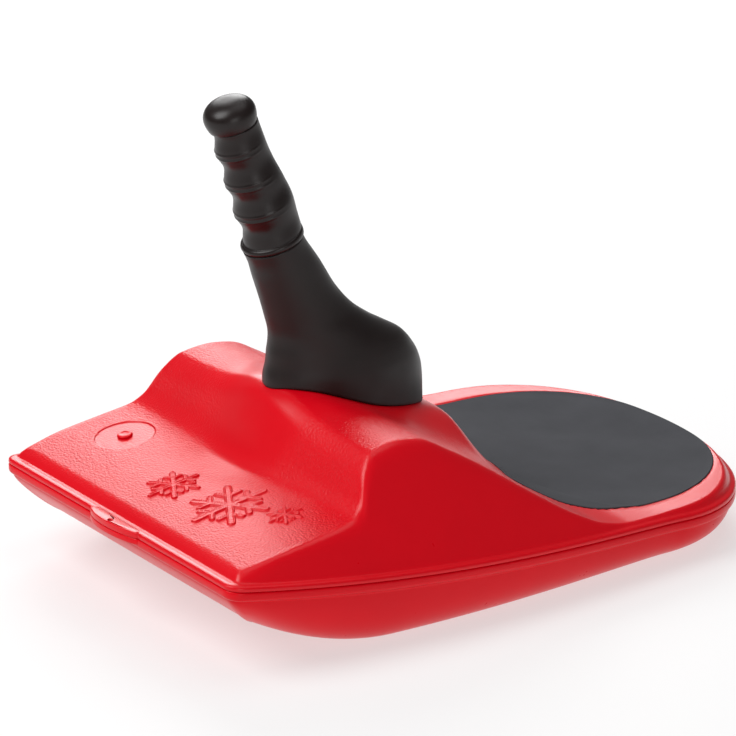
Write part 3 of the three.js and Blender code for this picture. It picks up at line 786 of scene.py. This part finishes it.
class SNOWSLED_OT_lower_body(bpy.types.Operator):
    """Lower mould half with its flange, rounded sides, glide grooves and half of the tow tab"""
    bl_idname = "snow_sled.lower_body"
    bl_label = "Lower body"

    def execute(self, context):
        wall = context.scene.snow_sled_sizes.wall
        rim_down = [(0.6, -SEAM), (0, -1.2), (0, -5.2), (0.5, -6.8), (1.6, -7.8), (HULL_INSET, -FLANGE_DOWN)]

        def side(thick, turns):
            rings = []
            for angle in np.linspace(0, math.pi / 2, turns + 1):
                run = HULL_INSET + thick + (HULL_RUN - thick) * (1 - math.cos(angle))
                rings.append(ring(run, 0, lambda x, y: parting(y) - FLANGE_DOWN - math.sin(angle)
                                  * (parting(y) - FLANGE_DOWN - keel(y) - groove(x, y) - thick)))
            return rings

        def flat(thick, rows):
            return [ring(HULL_INSET + HULL_RUN, share, lambda x, y: keel(y) + groove(x, y) + thick)
                    for share in np.linspace(0, 1, rows + 1)[1:]]

        inner = side(wall, 6) + flat(wall, 10)
        outer = [ring(run, 0, lambda x, y, h=height: parting(y) + h) for run, height in rim_down]
        outer += side(0, 26)[1:] + flat(0, 44)
        rings = inner[::-1] + [ring(HULL_INSET + wall, 0, lambda x, y: parting(y) - SEAM)] + outer
        shape = wrapped(rings)
        add_shape(shape, tab_shape(-TAB_UNDER, -SEAM))
        finished("lower_body", shape, material_for("smooth_hdpe"), "body_red", "hull_shell")
        return {"FINISHED"}


class SNOWSLED_OT_filling_plug(bpy.types.Operator):
    """Button that closes the filling hole in the middle of the round recess"""
    bl_idname = "snow_sled.filling_plug"
    bl_label = "Filling plug"

    def execute(self, context):
        x = np.array([PLUG_X, PLUG_X], float)
        y = np.array([PLUG_Y - 2, PLUG_Y + 2], float)
        low, high = deck_top(x, y)
        slope = math.atan((high - low) / 4)
        base = (low + high) / 2 - DISC_SUNK
        rounding = 1.5
        outline = [(PLUG_R - 2.2, -7), (PLUG_R - 2.2, 0.35), (PLUG_R - 0.2, 0.35), (PLUG_R, 0.5)]
        for angle in np.linspace(0, math.pi / 2, 7):
            outline.append((PLUG_R - rounding + rounding * math.cos(angle), 1.0 + rounding * math.sin(angle)))
        outline += [(PLUG_R - 3, 2.55), (PLUG_R - 3.6, 2.2), (1, 2.3)]
        count = 64
        turn = np.arange(count) / count * 2 * math.pi
        rings = []
        for r, along in outline:
            flat_y = r * np.sin(turn)
            rings.append(np.stack([PLUG_X + r * np.cos(turn),
                                   PLUG_Y + flat_y * math.cos(slope) - along * math.sin(slope),
                                   base + along * math.cos(slope) + flat_y * math.sin(slope)], 1))
        finished("filling_plug", wrapped(closed(rings)), material_for("smooth_hdpe"), "body_red", "vent_plug")
        return {"FINISHED"}


class SNOWSLED_OT_foam_pad(bpy.types.Operator):
    """Foam pad in the seat's pocket, dented by use"""
    bl_idname = "snow_sled.foam_pad"
    bl_label = "Foam pad"

    def execute(self, context):
        proud = context.scene.snow_sled_sizes.pad_proud
        count = 320
        angle = np.arange(count) / count * 2 * math.pi
        c, s = np.cos(angle), np.sin(angle)
        reach = pad_reach(c, s) - GAP

        def loop(share, back, lift, sunk):
            r = np.maximum(reach * share - back, 0)
            x, y = r * c, DISH_Y + r * s
            depth = pocket(x, y) if sunk else 0
            dent = 0 if sunk else self.dents(x, y) * smoothstep((pad_inset(x, y) - 4) / 14)
            return np.stack([x, y, deck_top(x, y) - depth + lift + dent], 1)

        under = [loop(share, 0, GAP * 0.6, True) for share in np.linspace(0, 0.96, 14)]
        under += [loop(1, back, GAP * 0.6, True) for back in (4.2, 3.2, 2.2, 1.2, 0.4, 0)]
        rounding = 1.0
        edge = []
        for turn in np.linspace(0.15, math.pi / 2, 6):
            edge.append(loop(1, rounding * (1 - math.cos(turn)),
                             proud - rounding * (1 - math.sin(turn)), False))
        over = [loop(1, back, proud, False) for back in (2, 3.5, 5.5, 8)]
        over += [loop(share, 8 * share, proud, False) for share in np.linspace(1, 0, 64)[1:]]
        piece = finished("foam_pad", wrapped(under + edge + over), material_for("eva_foam"), "seat_foam",
                         "seat_pad")
        return {"FINISHED"}

    @staticmethod
    def dents(x, y):
        """Shallow waves and thumb dents of foam that has been sat on, under a millimetre deep."""
        waves = 0.32 * np.sin(x / 31 + 0.6) * np.sin(y / 27 + 1.1) + 0.2 * np.sin(x / 13 - y / 17)
        hollow = 0
        for dent_x, dent_y, radius, depth in ((62, 170, 16, 0.7), (-38, 205, 20, 0.6), (18, 128, 14, 0.5)):
            hollow = hollow - depth * np.exp(-((x - dent_x) ** 2 + (y - dent_y) ** 2) / radius ** 2)
        return waves + hollow


# Boot sections: height, middle in y, half length, half width, lean of the section in degrees
BOOT = [(100, -56, 75, 40, 0), (145, -56, 74, 40, 0), (158, -56.5, 73.5, 40, 0), (170, -58, 71.5, 39.5, 0),
        (181, -60, 67, 38, 0), (191, -64, 62, 36, 0), (200, -70.5, 54, 34, 0), (209, -78, 46.5, 32, 0),
        (222, -88.5, 39.5, 29, 0), (240, -99.5, 33.5, 27, 2), (262, -110.5, 29, 25.5, 10),
        (281.5, -120.7, 25, 24.8, 19.2), (286.95, -123.48, 25, 24.8, 19.2)]


class SNOWSLED_OT_rubber_boot(bpy.types.Operator):
    """Rubber boot that covers the stem from the mound to the collar"""
    bl_idname = "snow_sled.rubber_boot"
    bl_label = "Rubber boot"

    def execute(self, context):
        height, middle, length, width, lean = (list(v) for v in zip(*BOOT))
        middle_of, length_of, width_of, lean_of = (monotone(list(zip(height, v)))
                                                   for v in (middle, length, width, lean))
        count = 144
        angle = np.arange(count) / count * 2 * math.pi

        def section(z, shrink=0.0):
            tilt = np.radians(lean_of(z))
            out = (length_of(z) - shrink) * np.sin(angle)
            x = (width_of(z) - shrink) * np.cos(angle)
            return np.stack([x, middle_of(z) + out * np.cos(tilt), z + out * np.sin(tilt)], 1)

        base = np.full(count, 130.0)
        for _ in range(6):
            foot = section(base)
            base = deck_top(foot[:, 0], foot[:, 1]) + GAP
        top = height[-1]
        lip = 1.2
        rings = [section(base, 4), section(base, lip)]
        rings += [section(base + lip * (1 - math.cos(a)), lip * (1 - math.sin(a)))
                  for a in (0.5, 1.0, math.pi / 2)]
        start = base + lip
        for part in np.linspace(0, 1, 90)[1:]:
            rings.append(section(start + (top - start) * part))
        rings.append(section(top, 1.0))
        rings.append(section(top, 8.0))
        inside = [section(start + (top - start) * part, 5.0) for part in (0.97, 0.8, 0.6, 0.4, 0.2, 0.0)]
        rings += inside
        rings.append(rings[0])
        finished("rubber_boot", wrapped(rings), material_for("satin_rubber"), "handle_rubber", "handle_boot")
        return {"FINISHED"}


FINGER_START = 5
RIB_APART = 2.2
RIB_HEIGHT = 0.6
RIB_WIDTH = 0.75
# Back of the grip: distance along the axis, radius
GRIP_BACK = [(0, 26.4), (16, 27), (34, 27.8), (52, 25.7), (70, 22.6), (88, 20.9), (112, 20.4)]


class SNOWSLED_OT_finger_grip(bpy.types.Operator):
    """Rubber grip with four finger grooves, thin ribs beside them and a collar bead"""
    bl_idname = "snow_sled.finger_grip"
    bl_label = "Finger grip"

    def execute(self, context):
        back_of = monotone(GRIP_BACK)
        count = 128
        angle = np.arange(count) / count * 2 * math.pi
        lean = (1 + np.cos(angle)) / 2
        front_side = smoothstep((np.cos(angle) + 0.55) / 0.9)

        def outer(s):
            u = (s - FINGER_START) / FINGER_PITCH
            swell = 22.2 - 0.018 * s
            dip = 1.6 - 1.6 * math.cos(2 * math.pi * u) if 0 < u < FINGER_COUNT else 0
            back = back_of(s)
            radius = back + (swell - dip - back) * lean
            for crest in range(1, FINGER_COUNT + 1):
                for side in (-RIB_APART, RIB_APART):
                    at = FINGER_START + crest * FINGER_PITCH + side
                    radius = radius + RIB_HEIGHT * math.exp(-((s - at) / RIB_WIDTH) ** 2) * front_side
            return radius

        def circle(s, radius):
            return round_axis(s, angle, radius * np.ones(count))

        bore = STEM_R_TOP + GAP
        rings = [circle(0, bore), circle(0, outer(0) - 0.2)]
        bead = 2.9  # half the width of the collar bead
        for turn in np.linspace(-math.pi / 2 + 0.1, math.pi / 2, 15):
            swollen = (bead * lean + 0.5) * math.cos(turn)
            rings.append(circle(bead + bead * math.sin(turn), outer(bead) + swollen))
        for s in np.linspace(6.4, GRIP_TOP - 0.8, 150):
            rings.append(circle(s, outer(s)))
        rings.append(circle(GRIP_TOP, outer(GRIP_TOP) - 0.8))
        rings.append(circle(GRIP_TOP, bore))
        rings.append(circle(0, bore))
        finished("finger_grip", wrapped(rings), material_for("grip_rubber"), "handle_rubber", "grip_sleeve")
        return {"FINISHED"}


class SNOWSLED_OT_end_knob(bpy.types.Operator):
    """Rounded cap on the end of the grip"""
    bl_idname = "snow_sled.end_knob"
    bl_label = "End knob"

    def execute(self, context):
        low = GRIP_TOP + GAP
        waist, height = KNOB_WAIST, KNOB_HEIGHT
        outline = [(STEM_R_TOP + GAP, low), (KNOB_R - 2.6, low)]
        for up in np.linspace(0.4, waist, 9):
            outline.append((KNOB_R - 2.0 * (1 - up / waist) ** 2, low + up))
        for turn in np.linspace(0, math.pi / 2, 28)[1:]:
            outline.append((max(KNOB_R * math.cos(turn) ** 0.72, 0.4),
                            low + waist + (height - waist) * math.sin(turn)))
        rings = turned(outline)
        top_point = turned([(0, low + height)])
        hollow = turned([(STEM_R_TOP + GAP, low), (STEM_R_TOP + GAP, STEM_TOP + GAP), (0, STEM_TOP + GAP)])
        finished("end_knob", wrapped(hollow[::-1] + rings[1:] + top_point), material_for("grip_rubber"),
                 "handle_rubber", "grip_knob")
        return {"FINISHED"}


# Name, azimuth and elevation in degrees, distance and size in metres, power in watts
LIGHTS = (
    ("key_softbox", 243, 31, 3.2, 1.8, 56),
    ("front_softbox", -12, 50, 3.4, 2.2, 80),
    ("top_softbox", 180, 80, 3.2, 2.4, 18),
    ("side_fill", 70, 18, 3.4, 1.6, 20),
)
WORLD_STRENGTH = 0.15
FLOOR_GLOW = 0.58
AIM = Vector((-46.4, -2.4, 139.2)) * MM
CAMERA_AZIMUTH = math.radians(55.84)
CAMERA_ELEVATION = math.radians(20.154)
CAMERA_DISTANCE = 4.539
CAMERA_LENS = 268.3


def direction(azimuth, elevation):
    """Unit vector from the sled towards a place seen at this azimuth and elevation."""
    return Vector((math.sin(azimuth) * math.cos(elevation), -math.cos(azimuth) * math.cos(elevation),
                   math.sin(elevation)))


def add_light(name, azimuth, elevation, distance, size, watts):
    lamp = bpy.data.lights.new(name, "AREA")
    lamp.shape = "DISK"
    lamp.size = size
    lamp.energy = watts
    holder = bpy.data.objects.new(name, lamp)
    way = direction(math.radians(azimuth), math.radians(elevation))
    holder.location = way * distance
    holder.rotation_euler = way.to_track_quat("Z", "Y").to_euler()
    bpy.context.scene.collection.objects.link(holder)


class SNOWSLED_OT_studio(bpy.types.Operator):
    """Pale floor, soft lights and the camera"""
    bl_idname = "snow_sled.studio"
    bl_label = "Studio"

    def execute(self, context):
        scene = context.scene
        shape = bmesh.new()
        bmesh.ops.create_grid(shape, x_segments=8, y_segments=8, size=8)
        mesh = bpy.data.meshes.new("studio_floor")
        shape.to_mesh(mesh)
        shape.free()
        # Opal acrylic table lit from below: its glow lightens the shadows that fall on it
        material, tree, shader, place = new_material("backlit_acrylic")
        mottle = add_node(tree, "ShaderNodeTexNoise", None, {"Vector": place, "Scale": 2.0})
        tone = add_node(tree, "ShaderNodeMix", {"data_type": "RGBA"}, {
            "Factor": mottle.outputs["Fac"], "A": linear(scene.snow_sled_colours.floor),
            "B": linear("#A0A0A0")})
        tree.links.new(tone.outputs["Result"], shader.inputs["Base Color"])
        shader.inputs["Roughness"].default_value = 0.9
        shader.inputs["Emission Color"].default_value = (1, 1, 1, 1)
        shader.inputs["Emission Strength"].default_value = FLOOR_GLOW
        mesh.materials.append(material)
        floor = bpy.data.objects.new("studio_floor", mesh)
        scene.collection.objects.link(floor)

        world = bpy.data.worlds.new("studio_world")
        world.use_nodes = True
        background = world.node_tree.nodes["Background"]
        background.inputs["Color"].default_value = (1, 1, 1, 1)
        background.inputs["Strength"].default_value = WORLD_STRENGTH
        scene.world = world

        for light in LIGHTS:
            add_light(*light)

        camera_data = bpy.data.cameras.new("camera")
        camera_data.lens = CAMERA_LENS
        camera_data.sensor_width = 36
        camera_data.clip_end = 50
        camera = bpy.data.objects.new("camera", camera_data)
        camera.location = AIM + direction(CAMERA_AZIMUTH, CAMERA_ELEVATION) * CAMERA_DISTANCE
        camera.rotation_euler = (math.pi / 2 - CAMERA_ELEVATION, 0, CAMERA_AZIMUTH)
        scene.collection.objects.link(camera)
        scene.camera = camera
        scene.view_settings.view_transform = "Standard"
        return {"FINISHED"}


PIECE_OPERATORS = (
    SNOWSLED_OT_upper_body,
    SNOWSLED_OT_lower_body,
    SNOWSLED_OT_filling_plug,
    SNOWSLED_OT_foam_pad,
    SNOWSLED_OT_rubber_boot,
    SNOWSLED_OT_finger_grip,
    SNOWSLED_OT_end_knob,
    SNOWSLED_OT_studio,
)


class SNOWSLED_PT_panel(bpy.types.Panel):
    """Lists the sled's sizes, colours and pieces"""
    bl_label = "Snow sled"
    bl_idname = "SNOWSLED_PT_panel"
    bl_space_type = "VIEW_3D"
    bl_region_type = "UI"
    bl_category = "Snow sled"

    def draw(self, context):
        for group in (context.scene.snow_sled_sizes, context.scene.snow_sled_colours):
            for key in group.__annotations__:
                self.layout.prop(group, key)
        for operator in PIECE_OPERATORS:
            self.layout.operator(operator.bl_idname)


CLASSES = (SnowSledSizes, SnowSledColours, *PIECE_OPERATORS, SNOWSLED_PT_panel)


def register():
    for cls in CLASSES:
        bpy.utils.register_class(cls)
    bpy.types.Scene.snow_sled_sizes = bpy.props.PointerProperty(type=SnowSledSizes)
    bpy.types.Scene.snow_sled_colours = bpy.props.PointerProperty(type=SnowSledColours)


def unregister():
    del bpy.types.Scene.snow_sled_colours
    del bpy.types.Scene.snow_sled_sizes
    for cls in reversed(CLASSES):
        bpy.utils.unregister_class(cls)


def main():
    register()
    bpy.ops.snow_sled.studio()
    bpy.ops.snow_sled.upper_body()
    bpy.ops.snow_sled.lower_body()
    bpy.ops.snow_sled.filling_plug()
    bpy.ops.snow_sled.foam_pad()
    bpy.ops.snow_sled.rubber_boot()
    bpy.ops.snow_sled.finger_grip()
    bpy.ops.snow_sled.end_knob()


if __name__ == "__main__":
    main()
